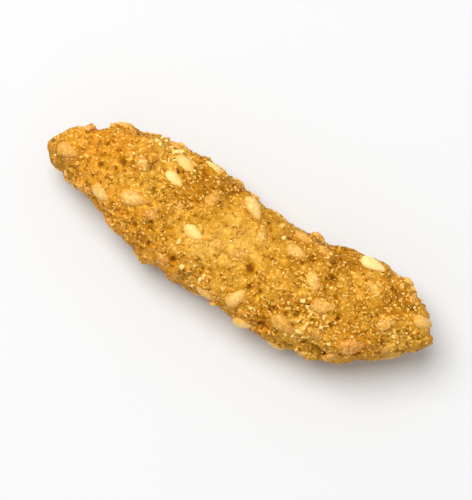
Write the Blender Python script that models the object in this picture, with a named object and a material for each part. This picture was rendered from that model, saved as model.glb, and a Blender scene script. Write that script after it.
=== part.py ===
"""Sesame stick: a short piece of rolled, seeded wheat dough, cut at a slant and fried.

Metres, +Z up. The stick lies along X. The origin is under its middle, on the level that
it lies on. The fried dough and the seeds baked into it are one solid.
"""

import math
import random

import bmesh
import bpy
from mathutils import Matrix, Vector, noise

MM = 0.001

# The rolled dough, in plan and in height.
LENGTH = 49.0 * MM
HEIGHT = 9.4 * MM
BACK_SIDE_Y = 7.0 * MM
FRONT_SIDE_Y = -7.2 * MM
SECTION_SQUARENESS = 2.3  # 2 is an ellipse, and more is boxier
SLOPE_STEP = 0.05 * MM
SLOPE_TURN = 0.01

# The two slanted cuts at each end, given by where they reach the tip and their angle to X.
# At the left end they stay apart, which leaves a blunter tip.
LEFT_BACK_TIP_Y = -0.3 * MM
LEFT_FRONT_TIP_Y = -1.9 * MM
RIGHT_TIP_Y = 2.2 * MM
LEFT_BACK_CUT = math.radians(39)
LEFT_FRONT_CUT = math.radians(15)
RIGHT_BACK_CUT = math.radians(39)
RIGHT_FRONT_CUT = math.radians(40)
CUT_OVERRUN = 0.9 * MM  # the cut lines run on this far past the rounded tip
CORNER_REACH = 1.2 * MM
TIP_LENGTH = 2.2 * MM

# The hollow in the back side where the dough was pinched, and the lift of the two ends.
PINCH_X = 3.5 * MM
PINCH_LENGTH = 8.0 * MM
PINCH_DEPTH = 1.25 * MM
LEFT_LIFT = 0.6 * MM
RIGHT_LIFT = 1.3 * MM
END_THINNING_POWER = 3.6
END_THINNING_LENGTH = 26.2 * MM

# The flat spot that it rests on is cut this far into the round underside.
REST_CUT = 0.4 * MM

# Relief of the fried surface: slow swells, wheat-sized knobs, and burst blisters.
SWELL_SIZE = 8.0 * MM
SWELL_HEIGHT = 0.6 * MM
KNOB_SIZE = 2.9 * MM
KNOB_HEIGHT = 0.64 * MM
KNOB_REACH = 0.78  # of KNOB_SIZE, from a knob's top to where it has sunk by its height
KNOB_CROWN = 0.5  # the share of its height that a knob's top stands off the form
KNOB_PATCH_SIZE = 6.0 * MM
KNOB_PATCH_LEVEL = 0.75
KNOB_PATCH_SWING = 0.6
BLISTERS = 26
BLISTER_SPAN = 0.84 * LENGTH
BLISTER_WANDER = 0.5  # radians off the even spiral
BLISTER_REACH = 2.5  # in radii, past which a blister's dent is left out
BLISTER_RADIUS = (0.7 * MM, 1.3 * MM)
BLISTER_DEPTH = (0.25 * MM, 0.5 * MM)
BLISTER_DRAW = 5
# The middle of the upper side came out smoother: knobs and blisters fade by this share.
SMOOTH_SHARE = 0.75
SMOOTH_X = -0.8 * MM
SMOOTH_Y = -1.4 * MM
SMOOTH_LENGTH = 4.2 * MM
SMOOTH_WIDTH = 4.4 * MM
SMOOTH_LEVEL = 3.0 * MM
SMOOTH_RISE = 2.5 * MM  # over this height above SMOOTH_LEVEL the smoothing sets in

# Sesame seeds, half sunk in the dough.
SEED_LENGTH = 3.0 * MM
SEED_WIDTH = 1.7 * MM
SEED_THICKNESS = 1.0 * MM
SEED_SIDES = 6
SEED_RINGS = 4
SEED_TAPER = 0.32
SEED_SPREAD = (0.84, 1.06)
SEED_SINK = (-0.14 * MM, 0.12 * MM)
SEED_TILT = math.radians(9)
SEED_BED_RADIUS = 0.5 * SEED_LENGTH  # the dough lies smooth this near to a seed's middle
SEED_GAP = 3.5 * MM
SEED_DRAW = 21
SCATTER_TRIES = 84
SCATTER_SPAN = 0.93 * LENGTH
SCATTER_WANDER = 0.35  # radians off the even spiral
GOLDEN_ANGLE = math.radians(137.508)
REST_KEEP_OFF = 0.8  # no seed where the surface faces down by more than this
TOP_KEEP_OFF = 0.5  # nor a scattered one where it faces up by more than this
EDGE_LIMIT = 0.97  # a seed near the outline is brought in to this share of the half width
# The largest seeds on top, as (x, y, heading in degrees).
TOP_SEEDS = (
    (-21.6 * MM, -0.9 * MM, 6),
    (-15.9 * MM, -3.2 * MM, -12),
    (-12.3 * MM, -1.8 * MM, 14),
    (-9.7 * MM, 2.5 * MM, -12),
    (-9.6 * MM, 4.9 * MM, -8),
    (-4.5 * MM, -1.7 * MM, -8),
    (-0.4 * MM, 4.3 * MM, -34),
    (-0.1 * MM, -6.6 * MM, -6),
    (3.3 * MM, -5.3 * MM, 62),
    (6.3 * MM, 4.7 * MM, -4),
    (6.4 * MM, 2.4 * MM, 2),
    (9.3 * MM, -5.2 * MM, -12),
    (9.8 * MM, 0.4 * MM, -40),
    (12.0 * MM, -1.4 * MM, 25),
    (14.3 * MM, 5.8 * MM, 10),
    (17.0 * MM, -3.3 * MM, 28),
    (22.4 * MM, 3.1 * MM, 35),
)

# Fineness of the solid.
SIDES_ROUND = 64
RINGS_LONG = 124
DOUGH_TRIANGLES = 7000
SHARP_EDGE = math.radians(40)

HALF_LENGTH = LENGTH / 2
CUTS_END_X = HALF_LENGTH + CUT_OVERRUN


def clear_scene():
    for obj in list(bpy.data.objects):
        bpy.data.objects.remove(obj, do_unlink=True)


def make_collection(name):
    collection = bpy.data.collections.new(name)
    bpy.context.scene.collection.children.link(collection)
    return collection


def fried_dough_material():
    material = bpy.data.materials.new("fried_dough")
    material.use_nodes = True
    shader = material.node_tree.nodes["Principled BSDF"]
    shader.inputs["Base Color"].default_value = (0.62, 0.30, 0.055, 1.0)
    shader.inputs["Roughness"].default_value = 0.6
    shader.inputs["Metallic"].default_value = 0.0
    return material


# --- The plain form of the stick -------------------------------------------------------


def smooth_least(values, reach):
    """The least of the values, with the corners between them rounded over this reach."""
    return -reach * math.log(sum(math.exp(-value / reach) for value in values))


def pinch(x):
    return PINCH_DEPTH * math.exp(-(((x - PINCH_X) / PINCH_LENGTH) ** 2))


def back_edge(x):
    left_cut = LEFT_BACK_TIP_Y + math.tan(LEFT_BACK_CUT) * (x + CUTS_END_X)
    right_cut = RIGHT_TIP_Y + math.tan(RIGHT_BACK_CUT) * (CUTS_END_X - x)
    return smooth_least((BACK_SIDE_Y - pinch(x), left_cut, right_cut), CORNER_REACH)


def front_edge(x):
    left_cut = -LEFT_FRONT_TIP_Y + math.tan(LEFT_FRONT_CUT) * (x + CUTS_END_X)
    right_cut = -RIGHT_TIP_Y + math.tan(RIGHT_FRONT_CUT) * (CUTS_END_X - x)
    return -smooth_least((-FRONT_SIDE_Y, left_cut, right_cut), CORNER_REACH)


def tip_rounding(x):
    """1 along the stick, and down to 0 in a quarter circle over each blunt tip."""
    past = max(0.0, (abs(x) - (HALF_LENGTH - TIP_LENGTH)) / TIP_LENGTH)
    return math.sqrt(max(0.0, 1.0 - past * past))


def section(x):
    """Middle y, middle z, half width and half height of the cross-section at x."""
    back, front = back_edge(x), front_edge(x)
    thinning = 1.0 - (abs(x) / END_THINNING_LENGTH) ** END_THINNING_POWER
    half_height = 0.5 * HEIGHT * math.sqrt(thinning) * tip_rounding(x)
    lift = (LEFT_LIFT if x < 0 else RIGHT_LIFT) * (x / HALF_LENGTH) ** 2
    middle_z = 0.5 * HEIGHT - REST_CUT + lift
    return 0.5 * (back + front), middle_z, 0.5 * (back - front) * tip_rounding(x), half_height


def form_point(x, turn):
    """A point of the plain form. turn is 0 at +Y and a quarter turn at the top."""
    middle_y, middle_z, half_width, half_height = section(x)
    across, up = math.cos(turn), math.sin(turn)
    power = 2.0 / SECTION_SQUARENESS
    y = middle_y + half_width * math.copysign(abs(across) ** power, across)
    z = middle_z + half_height * math.copysign(abs(up) ** power, up)
    return Vector((x, y, z))


def form_normal(x, turn):
    along = form_point(x + SLOPE_STEP, turn) - form_point(x - SLOPE_STEP, turn)
    around = form_point(x, turn + SLOPE_TURN) - form_point(x, turn - SLOPE_TURN)
    return around.cross(along).normalized()


def turn_at(x, y):
    """The turn that brings a point of the upper side at x to this y."""
    middle_y, _, half_width, _ = section(x)
    across = max(-EDGE_LIMIT, min(EDGE_LIMIT, (y - middle_y) / half_width))
    power = SECTION_SQUARENESS / 2.0
    return math.acos(math.copysign(abs(across) ** power, across))


# --- The relief of the fried surface ---------------------------------------------------


def swell(point):
    return SWELL_HEIGHT * noise.noise(point / SWELL_SIZE)


def knobs(point):
    """Domes with creases between them, bolder in some patches than in others."""
    patch = KNOB_PATCH_LEVEL + KNOB_PATCH_SWING * noise.noise(point / KNOB_PATCH_SIZE)
    away = noise.voronoi(point / KNOB_SIZE)[0][0] / KNOB_REACH
    return KNOB_HEIGHT * patch * (KNOB_CROWN - away * away)


def boldness(point):
    """The share that is left of knobs and blisters at this point."""
    off_x, off_y = (point.x - SMOOTH_X) / SMOOTH_LENGTH, (point.y - SMOOTH_Y) / SMOOTH_WIDTH
    upper = min(1.0, max(0.0, (point.z - SMOOTH_LEVEL) / SMOOTH_RISE))
    return 1.0 - SMOOTH_SHARE * upper * math.exp(-off_x * off_x - off_y * off_y)


def blister_list():
    draw = random.Random(BLISTER_DRAW)
    blisters = []
    for index in range(BLISTERS):
        x = BLISTER_SPAN * ((index + draw.random()) / BLISTERS - 0.5)
        turn = index * GOLDEN_ANGLE + draw.uniform(-BLISTER_WANDER, BLISTER_WANDER)
        radius = draw.uniform(*BLISTER_RADIUS)
        depth = draw.uniform(*BLISTER_DEPTH)
        blisters.append((form_point(x, turn), radius, depth))
    return blisters


def relief(point, blisters, seeds):
    """How far the fried surface stands off the plain form at this point."""
    height = knobs(point)
    for centre, radius, depth in blisters:
        away = (point - centre).length / radius
        if away < BLISTER_REACH:
            height -= depth * math.exp(-away * away)
    nearest_seed = min((point - seed["foot"]).length for seed in seeds)
    clear_of_seeds = 1.0 - math.exp(-((nearest_seed / SEED_BED_RADIUS) ** 4))
    return swell(point) + clear_of_seeds * boldness(point) * height


# --- Seeds -----------------------------------------------------------------------------


def seed_at(x, turn, heading, draw):
    return {
        "foot": form_point(x, turn),
        "normal": form_normal(x, turn),
        "heading": heading,
        "size": draw.uniform(*SEED_SPREAD),
        "sink": draw.uniform(*SEED_SINK),
        "tilt": draw.uniform(-SEED_TILT, SEED_TILT),
    }


def seed_list():
    """The seeds on top first, then others spread evenly by a spiral round the stick."""
    draw = random.Random(SEED_DRAW)
    seeds = [seed_at(x, turn_at(x, y), math.radians(h), draw) for x, y, h in TOP_SEEDS]
    for index in range(SCATTER_TRIES):
        x = SCATTER_SPAN * ((index + 0.5) / SCATTER_TRIES - 0.5)
        turn = index * GOLDEN_ANGLE + draw.uniform(-SCATTER_WANDER, SCATTER_WANDER)
        seed = seed_at(x, turn, draw.uniform(0.0, math.pi), draw)
        gap = min((seed["foot"] - other["foot"]).length for other in seeds)
        if gap > SEED_GAP and -REST_KEEP_OFF < seed["normal"].z < TOP_KEEP_OFF:
            seeds.append(seed)
    return seeds


def seed_matrix(seed):
    """Places a seed flat on the surface, with its long axis at its heading to X."""
    normal = seed["normal"]
    along = Vector((1.0, 0.0, 0.0))
    along = (along - normal * along.dot(normal)).normalized()
    across = normal.cross(along)
    frame = Matrix((along, across, normal)).transposed().to_4x4()
    centre = seed["foot"] + normal * (swell(seed["foot"]) + seed["sink"])
    spin = Matrix.Rotation(seed["heading"], 4, "Z") @ Matrix.Rotation(seed["tilt"], 4, "Y")
    return Matrix.Translation(centre) @ frame @ spin @ Matrix.Scale(seed["size"], 4)


def make_seed_mesh():
    """A flat drop, narrower at one end, from a sphere with its poles at the two ends."""
    mesh = bpy.data.meshes.new("sesame_seed")
    shape = bmesh.new()
    bmesh.ops.create_uvsphere(shape, u_segments=SEED_SIDES, v_segments=SEED_RINGS, radius=1.0)
    bmesh.ops.rotate(shape, verts=shape.verts, matrix=Matrix.Rotation(math.pi / 2, 3, "Y"))
    for vertex in shape.verts:
        narrow = 1.0 - SEED_TAPER * vertex.co.x
        vertex.co.x *= 0.5 * SEED_LENGTH
        vertex.co.y *= 0.5 * SEED_WIDTH * narrow
        vertex.co.z *= 0.5 * SEED_THICKNESS * narrow
    shape.to_mesh(mesh)
    shape.free()
    return mesh


def make_seeds(seeds, collection):
    mesh = make_seed_mesh()
    for index, seed in enumerate(seeds):
        obj = bpy.data.objects.new(f"sesame_seed_{index:02d}", mesh)
        obj.matrix_world = seed_matrix(seed)
        collection.objects.link(obj)


# --- Dough -----------------------------------------------------------------------------


def make_dough(seeds, collection):
    """A sphere drawn out into the stick's form, then given the fried surface's relief."""
    mesh = bpy.data.meshes.new("sesame_stick")
    shape = bmesh.new()
    bmesh.ops.create_uvsphere(shape, u_segments=SIDES_ROUND, v_segments=RINGS_LONG, radius=1.0)
    bmesh.ops.rotate(shape, verts=shape.verts, matrix=Matrix.Rotation(math.pi / 2, 3, "Y"))
    for vertex in shape.verts:
        x = HALF_LENGTH * vertex.co.x
        vertex.co = form_point(x, math.atan2(vertex.co.z, vertex.co.y))
    bmesh.ops.recalc_face_normals(shape, faces=shape.faces)
    shape.normal_update()
    blisters = blister_list()
    raised = [v.co + v.normal * relief(v.co, blisters, seeds) for v in shape.verts]
    for vertex, point in zip(shape.verts, raised):
        vertex.co = point
    bmesh.ops.triangulate(shape, faces=shape.faces)
    triangles = len(shape.faces)
    shape.to_mesh(mesh)
    shape.free()
    obj = bpy.data.objects.new("sesame_stick", mesh)
    collection.objects.link(obj)
    thin = obj.modifiers.new("fewer_triangles", "DECIMATE")
    thin.ratio = DOUGH_TRIANGLES / triangles
    return obj


def apply_modifiers(obj):
    """Gives the object the mesh that its modifiers make of it."""
    bpy.context.view_layer.update()
    graph = bpy.context.evaluated_depsgraph_get()
    made = bpy.data.meshes.new_from_object(obj.evaluated_get(graph))
    obj.modifiers.clear()
    obj.data = made


def cut_rest_spot(dough, cutters):
    """Slices the underside off at z = 0, so that the stick lies still."""
    depth = HEIGHT
    bpy.ops.mesh.primitive_cube_add(size=1.0, location=(0.0, 0.0, -0.5 * depth))
    cutter = bpy.context.object
    cutter.name = "rest_cutter"
    cutter.scale = (2.0 * LENGTH, LENGTH, depth)
    cutter.hide_render = True
    cutter.display_type = "WIRE"
    for home in list(cutter.users_collection):
        home.objects.unlink(cutter)
    cutters.objects.link(cutter)
    cut = dough.modifiers.new("rest_spot", "BOOLEAN")
    cut.operation = "DIFFERENCE"
    cut.solver = "EXACT"
    cut.object = cutter
    apply_modifiers(dough)


def fuse_seeds(dough, seeds):
    """Joins the dough and every seed into one solid, then removes the loose seeds."""
    loose = make_collection("loose_seeds")
    make_seeds(seeds, loose)
    join = dough.modifiers.new("fused_seeds", "BOOLEAN")
    join.operation = "UNION"
    join.operand_type = "COLLECTION"
    join.collection = loose
    join.solver = "EXACT"
    apply_modifiers(dough)
    for obj in list(loose.objects):
        bpy.data.objects.remove(obj, do_unlink=True)
    bpy.data.collections.remove(loose)


clear_scene()
stick_parts = make_collection("sesame_stick")
stick_cutters = make_collection("cutters")
stick_seeds = seed_list()
stick = make_dough(stick_seeds, stick_parts)
apply_modifiers(stick)
fuse_seeds(stick, stick_seeds)
cut_rest_spot(stick, stick_cutters)
stick.data.materials.clear()
stick.data.materials.append(fried_dough_material())
stick.data.shade_smooth()
stick.data.set_sharp_from_angle(angle=SHARP_EDGE)
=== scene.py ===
import math
import random

import bmesh
import bpy
import numpy as np
from mathutils import Matrix, Vector, noise
from mathutils.bvhtree import BVHTree


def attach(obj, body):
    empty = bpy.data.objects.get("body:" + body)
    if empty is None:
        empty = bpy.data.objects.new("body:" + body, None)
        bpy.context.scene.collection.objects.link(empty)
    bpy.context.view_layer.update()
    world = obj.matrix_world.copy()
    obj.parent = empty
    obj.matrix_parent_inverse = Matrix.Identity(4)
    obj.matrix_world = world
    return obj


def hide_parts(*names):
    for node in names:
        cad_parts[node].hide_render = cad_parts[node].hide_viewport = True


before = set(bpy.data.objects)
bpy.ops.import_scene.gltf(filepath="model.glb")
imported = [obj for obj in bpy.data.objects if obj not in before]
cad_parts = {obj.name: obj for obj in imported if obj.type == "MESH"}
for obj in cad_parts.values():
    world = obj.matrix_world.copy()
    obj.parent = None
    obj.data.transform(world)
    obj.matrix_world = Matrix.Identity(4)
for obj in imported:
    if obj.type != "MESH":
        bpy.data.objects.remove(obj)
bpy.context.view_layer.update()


# =======================================================================================
# FRIED DOUGH
# A finger of stiff wheat dough, rolled, cut to a blunt point at both ends and fried. It
# swells into slow humps and knobs, blisters burst, and the skin dries to a sandy golden
# crust, with painted shade in its creases and pinholes. It stands for the whole solid.
# =======================================================================================

MM = 0.001

STICK_LENGTH = 49.0 * MM
STICK_HEIGHT = 9.4 * MM
BACK_SIDE_Y = 7.0 * MM
FRONT_SIDE_Y = -7.2 * MM
SECTION_SQUARENESS = 2.3
HALF_LENGTH = STICK_LENGTH / 2

LEFT_BACK_TIP_Y = -0.3 * MM
LEFT_FRONT_TIP_Y = -1.9 * MM
RIGHT_TIP_Y = 2.2 * MM
LEFT_BACK_CUT = math.radians(39)
LEFT_FRONT_CUT = math.radians(15)
RIGHT_BACK_CUT = math.radians(39)
RIGHT_FRONT_CUT = math.radians(40)
CUTS_END_X = HALF_LENGTH + 0.9 * MM
CORNER_REACH = 1.2 * MM
TIP_LENGTH = 2.2 * MM

PINCH_X = 3.5 * MM
PINCH_LENGTH = 8.0 * MM
PINCH_DEPTH = 1.25 * MM
LEFT_LIFT = 0.6 * MM
RIGHT_LIFT = 1.3 * MM
END_THINNING_POWER = 3.6
END_THINNING_LENGTH = 26.2 * MM
REST_CUT = 0.4 * MM
# Nothing on the upper side is placed further out than this share of the half width.
SIDE_LIMIT = 0.97
FULL_TURN = 2.0 * math.pi


def in_metres(*rows, lengths):
    """Rows written in millimetres, of which this many first values are lengths."""
    return [tuple(value * MM for value in row[:lengths]) + row[lengths:] for row in rows]


def smooth_least(values, reach):
    """The least of the values, with the corners between them rounded over this reach."""
    return -reach * math.log(sum(math.exp(-value / reach) for value in values))


def back_edge(x):
    pinch = PINCH_DEPTH * math.exp(-(((x - PINCH_X) / PINCH_LENGTH) ** 2))
    left_cut = LEFT_BACK_TIP_Y + math.tan(LEFT_BACK_CUT) * (x + CUTS_END_X)
    right_cut = RIGHT_TIP_Y + math.tan(RIGHT_BACK_CUT) * (CUTS_END_X - x)
    return smooth_least((BACK_SIDE_Y - pinch, left_cut, right_cut), CORNER_REACH)


def front_edge(x):
    left_cut = -LEFT_FRONT_TIP_Y + math.tan(LEFT_FRONT_CUT) * (x + CUTS_END_X)
    right_cut = -RIGHT_TIP_Y + math.tan(RIGHT_FRONT_CUT) * (CUTS_END_X - x)
    return -smooth_least((-FRONT_SIDE_Y, left_cut, right_cut), CORNER_REACH)


def section(x):
    """Middle y, middle z, half width and half height of the cross-section at x."""
    past_tip = max(0.0, (abs(x) - (HALF_LENGTH - TIP_LENGTH)) / TIP_LENGTH)
    tip = math.sqrt(max(0.0, 1.0 - past_tip * past_tip))
    back, front = back_edge(x), front_edge(x)
    thinning = 1.0 - (abs(x) / END_THINNING_LENGTH) ** END_THINNING_POWER
    half_height = 0.5 * STICK_HEIGHT * math.sqrt(thinning) * tip
    lift = (LEFT_LIFT if x < 0 else RIGHT_LIFT) * (x / HALF_LENGTH) ** 2
    middle_z = 0.5 * STICK_HEIGHT - REST_CUT + lift
    return 0.5 * (back + front), middle_z, 0.5 * (back - front) * tip, half_height


def form_point(x, turn):
    """A point of the plain rolled form. turn is 0 at +Y and a quarter turn at the top."""
    middle_y, middle_z, half_width, half_height = section(x)
    across, up = math.cos(turn), math.sin(turn)
    power = 2.0 / SECTION_SQUARENESS
    y = middle_y + half_width * math.copysign(abs(across) ** power, across)
    z = middle_z + half_height * math.copysign(abs(up) ** power, up)
    return Vector((x, y, z))


def form_normal(x, turn):
    """The outward direction there, square to two short steps along and around."""
    step_x, step_turn = 0.05 * MM, 0.01
    along = form_point(x + step_x, turn) - form_point(x - step_x, turn)
    around = form_point(x, turn + step_turn) - form_point(x, turn - step_turn)
    return around.cross(along).normalized()


def turn_at(x, y):
    """The turn that brings a point of the upper side at x to this y."""
    middle_y, _, half_width, _ = section(x)
    across = max(-SIDE_LIMIT, min(SIDE_LIMIT, (y - middle_y) / half_width))
    power = SECTION_SQUARENESS / 2.0
    return math.acos(math.copysign(abs(across) ** power, across))


# Where the seeds sit. They are kneaded in, so the crust puffs up and closes round them.
# The large ones are those of the solid. The others are sunk so far between them that
# little more than their backs shows.

SEED_LENGTH = 3.0 * MM
SEED_WIDTH = 1.7 * MM
SEED_THICKNESS = 1.0 * MM
SEED_TAPER = 0.32
SEED_TILT = math.radians(9)
SEED_SPREAD = (0.84, 1.06)
SEED_SINK = (-0.14 * MM, 0.12 * MM)
SEED_GAP = 3.5 * MM
SEED_DRAW = 21
SCATTER_TRIES = 84
SCATTER_SPAN = 0.93 * STICK_LENGTH
SCATTER_WANDER = 0.35
GOLDEN_ANGLE = math.radians(137.508)
# Scattered seeds keep off skin that faces further down, or further up, than these.
REST_KEEP_OFF = 0.8
TOP_KEEP_OFF = 0.5
# The seeds on top, as x, y, heading in degrees, and how far a film of dough hides them.
# The one with less than no film is whiter than the rest.
TOP_SEEDS = in_metres(
    (-21.6, -0.9, 6, 0.55),
    (-15.9, -3.2, -12, 0.35),
    (-12.3, -1.8, 14, 0.40),
    (-9.7, 2.5, -12, 0.2),
    (-9.6, 4.9, -8, 0.12),
    (-4.5, -1.7, -8, 0.0),
    (-0.4, 4.3, -34, 0.35),
    (-0.1, -6.6, -6, 0.4),
    (3.3, -5.3, 62, 0.38),
    (6.3, 4.7, -4, 0.62),
    (6.4, 2.4, 2, 0.50),
    (9.3, -5.2, -12, 0.65),
    (9.8, 0.4, -40, 0.45),
    (12.0, -1.4, 25, 0.6),
    (14.3, 5.8, 10, -0.90),
    (17.0, -3.3, 28, 0.75),
    (22.4, 3.1, 35, 0.35),
    lengths=2,
)
SIDE_FILM = (0.0, 0.75)
SUNK_TRIES = 150
SUNK_SPREAD = (0.62, 0.86)
SUNK_SINK = (-0.24 * MM, -0.08 * MM)
SUNK_FILM = (0.55, 1.0)
SUNK_GAP = 2.5 * MM
SUNK_DRAW = 34
FILM_DRAW = 19


def seed_at(x, turn, heading, draw, spread, sink):
    """Where a seed sits on the rolled form, which way it lies, how large and how deep."""
    return {
        "foot": form_point(x, turn),
        "normal": form_normal(x, turn),
        "heading": heading,
        "size": draw.uniform(*spread),
        "sink": draw.uniform(*sink),
        "tilt": draw.uniform(-SEED_TILT, SEED_TILT),
    }


def gap_to_seeds(seed, seeds):
    return min((seed["foot"] - other["foot"]).length for other in seeds)


def large_seeds():
    """The seeds on top, and those scattered round the sides where there is room."""
    draw = random.Random(SEED_DRAW)
    film_draw = random.Random(FILM_DRAW)
    seeds = [
        seed_at(x, turn_at(x, y), math.radians(heading), draw, SEED_SPREAD, SEED_SINK)
        for x, y, heading, _ in TOP_SEEDS
    ]
    for seed, (_, _, _, film) in zip(seeds, TOP_SEEDS):
        seed["film"] = film
    for index in range(SCATTER_TRIES):
        x = SCATTER_SPAN * ((index + 0.5) / SCATTER_TRIES - 0.5)
        turn = index * GOLDEN_ANGLE + draw.uniform(-SCATTER_WANDER, SCATTER_WANDER)
        seed = seed_at(x, turn, draw.uniform(0.0, math.pi), draw, SEED_SPREAD, SEED_SINK)
        on_side = -REST_KEEP_OFF < seed["normal"].z < TOP_KEEP_OFF
        if on_side and gap_to_seeds(seed, seeds) > SEED_GAP:
            seed["film"] = film_draw.uniform(*SIDE_FILM)
            seeds.append(seed)
    return seeds


def with_sunk_seeds(seeds):
    """These seeds, and small ones sunk between them."""
    draw = random.Random(SUNK_DRAW)
    seeds = list(seeds)
    for _ in range(SUNK_TRIES):
        x = SCATTER_SPAN * (draw.random() - 0.5)
        turn = draw.uniform(0.0, FULL_TURN)
        seed = seed_at(x, turn, draw.uniform(0.0, math.pi), draw, SUNK_SPREAD, SUNK_SINK)
        if gap_to_seeds(seed, seeds) > SUNK_GAP and seed["normal"].z > -REST_KEEP_OFF:
            seed["film"] = draw.uniform(*SUNK_FILM)
            seeds.append(seed)
    return seeds


def seed_axes(seed):
    """The seed's long axis, its short axis and its back's direction, as columns."""
    normal = seed["normal"]
    along = Vector((1.0, 0.0, 0.0))
    along = (along - normal * along.dot(normal)).normalized()
    lying = Matrix((along, normal.cross(along), normal)).transposed()
    spin = Matrix.Rotation(seed["heading"], 3, "Z") @ Matrix.Rotation(seed["tilt"], 3, "Y")
    return lying @ spin


# The relief of the crust. The swells, knobs and blisters are those of the solid, and the
# finer cracked wheat, sand, rips and pinholes lie on top of them.

SWELL_SIZE = 8.0 * MM
SWELL_HEIGHT = 0.6 * MM
KNOB_SIZE = 2.9 * MM
KNOB_HEIGHT = 0.64 * MM
KNOB_REACH = 0.78
KNOB_CROWN = 0.5
KNOB_PATCH_SIZE = 6.0 * MM
KNOB_PATCH_LEVEL = 0.75
KNOB_PATCH_SWING = 0.6
BLISTERS = 26
BLISTER_SPAN = 0.84 * STICK_LENGTH
BLISTER_WANDER = 0.5
BLISTER_RADIUS = (0.7 * MM, 1.3 * MM)
BLISTER_DEPTH = (0.25 * MM, 0.5 * MM)
BLISTER_DRAW = 5
SMOOTH_SHARE = 0.75
SMOOTH_X = -0.8 * MM
SMOOTH_Y = -1.4 * MM
SMOOTH_LENGTH = 4.2 * MM
SMOOTH_WIDTH = 4.4 * MM
SMOOTH_LEVEL = 3.0 * MM
SMOOTH_RISE = 2.5 * MM
SEED_BED_RADIUS = 0.5 * SEED_LENGTH
SEED_BED_STEEPNESS = 4

DOME_FALL = 1.5
WHEAT_SIZE = 1.25 * MM
WHEAT_HEIGHT = 0.20 * MM
WHEAT_MIDDLE = 0.45
WHEAT_PATCH_SIZE = 3.4 * MM
WHEAT_PATCH_LEVEL = 0.55
WHEAT_PATCH_SWING = 0.9
SAND_SIZE = 0.46 * MM
SAND_HEIGHT = 0.12 * MM
SAND_MIDDLE = 0.5
TORN_FADE = 0.7
TORN_STEP = 2.1
TORN_LAYERS = 3
CRUMBLE_SIZE = 0.85 * MM
CRUMBLE_HEIGHT = 0.13 * MM
FINE_BY_SEEDS = 0.35
FINE_WHERE_SMOOTH = 0.6
FINE_SANDY_GAIN = 0.8
RIP_LENGTH = 5.0 * MM
RIP_SPACING = 1.6 * MM
RIP_WIDTH = 0.07
RIP_DEPTH = 0.14 * MM
PINHOLES = 190
PINHOLE_SPAN = 0.96 * STICK_LENGTH
PINHOLE_RADIUS = (0.13 * MM, 0.30 * MM)
PINHOLE_DEPTH = (0.10 * MM, 0.28 * MM)
PINHOLE_DRAW = 12
# The deepest pinholes on top, as x, y and radius.
TOP_PINHOLES = in_metres(
    (-17.5, -0.4, 0.40),
    (-15.5, 1.2, 0.45),
    (-10.8, -4.0, 0.40),
    (-9.9, 3.7, 0.35),
    (-9.2, -3.0, 0.28),
    (-8.4, -4.9, 0.36),
    (-5.1, -5.2, 0.40),
    (-4.8, 2.3, 0.45),
    (2.9, -1.8, 0.50),
    (3.9, -3.7, 0.45),
    (5.2, -3.5, 0.32),
    (7.1, -6.45, 0.62),
    (9.9, -3.7, 0.40),
    (10.8, -2.0, 0.38),
    (11.3, 2.2, 0.50),
    (11.9, -3.2, 0.35),
    (18.0, -3.4, 0.30),
    lengths=3,
)
TOP_PINHOLE_DEPTH = 0.36 * MM
# A dent ends here, in squared radii, as what is left beyond is next to nothing.
DENT_END = 6.0
# The collar of dough round a seed. Its place and width are shares of the seed's half size.
COLLAR_HEIGHT = 0.20 * MM
COLLAR_PLACE = 1.05
COLLAR_WIDTH = 0.24
COLLAR_REACH = 2.2 * SEED_BED_RADIUS
COLLAR_PATCH_SIZE = 0.8 * MM
COLLAR_PATCH_LEVEL = 0.75
COLLAR_PATCH_SWING = 1.3
COLLAR_PATCH_MOST = 1.5
PATCH_LEAST = 0.1

# Where the crust took more colour in the oil, or less, as x, y, reach and strength.
# Some also carry painted light and shade: the pale ones at (-2.8, -3.0) and
# (20.5, -0.6) are painted light where the crust turns away from the lamp, and the dark
# ones at (-18.3, 3.4), (7.0, -6.6) and (19.8, 4.2) are partly painted shade along the
# back and front edges.
TOAST_LIGHT_AND_SHADE_PLACES = in_metres(
    (-19.3, 0.0, 2.2, 0.55),
    (-18.3, 3.4, 2.2, 0.85),
    (-18.2, 0.2, 1.2, 0.45),
    (-16.0, 0.0, 1.7, -1.00),
    (-14.2, 3.8, 2.2, -0.15),
    (-13.0, -4.2, 2.2, 0.95),
    (-12.3, 0.3, 1.8, -0.40),
    (-10.4, 3.2, 1.9, -0.60),
    (-5.8, 4.0, 2.2, 0.70),
    (-7.6, 0.4, 1.8, 0.75),
    (-6.4, -2.4, 1.5, 0.40),
    (-2.8, -3.0, 2.4, -1.60),
    (-1.2, 1.2, 2.6, -1.05),
    (0.6, -3.2, 2.2, -0.60),
    (1.2, 1.8, 1.8, -0.40),
    (1.4, -1.2, 2.2, -0.95),
    (4.2, 1.7, 1.5, -0.45),
    (5.2, 0.0, 2.2, 0.55),
    (6.2, -3.6, 2.1, -0.95),
    (9.8, 2.0, 1.4, -0.55),
    (11.0, -4.4, 2.0, -0.50),
    (11.8, 4.2, 1.8, 0.95),
    (7.0, -6.6, 2.2, 1.80),
    (18.0, 2.5, 2.0, 0.20),
    (19.8, 4.2, 1.7, 0.95),
    (20.5, -0.6, 2.0, -0.95),
    lengths=3,
)
# Where it is sandier than elsewhere, or smoother, given in the same way.
SANDY_PLACES = in_metres(
    (-19.0, 1.0, 3.0, -0.30),
    (-11.6, 5.6, 2.2, 0.90),
    (-6.5, -3.4, 2.6, -0.45),
    (-1.6, 0.0, 3.6, -0.85),
    (2.4, 1.6, 3.0, -0.70),
    (0.4, -6.2, 2.4, 0.60),
    (10.6, -2.6, 3.2, 0.95),
    (20.4, -0.2, 2.8, 0.45),
    lengths=3,
)
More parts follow.
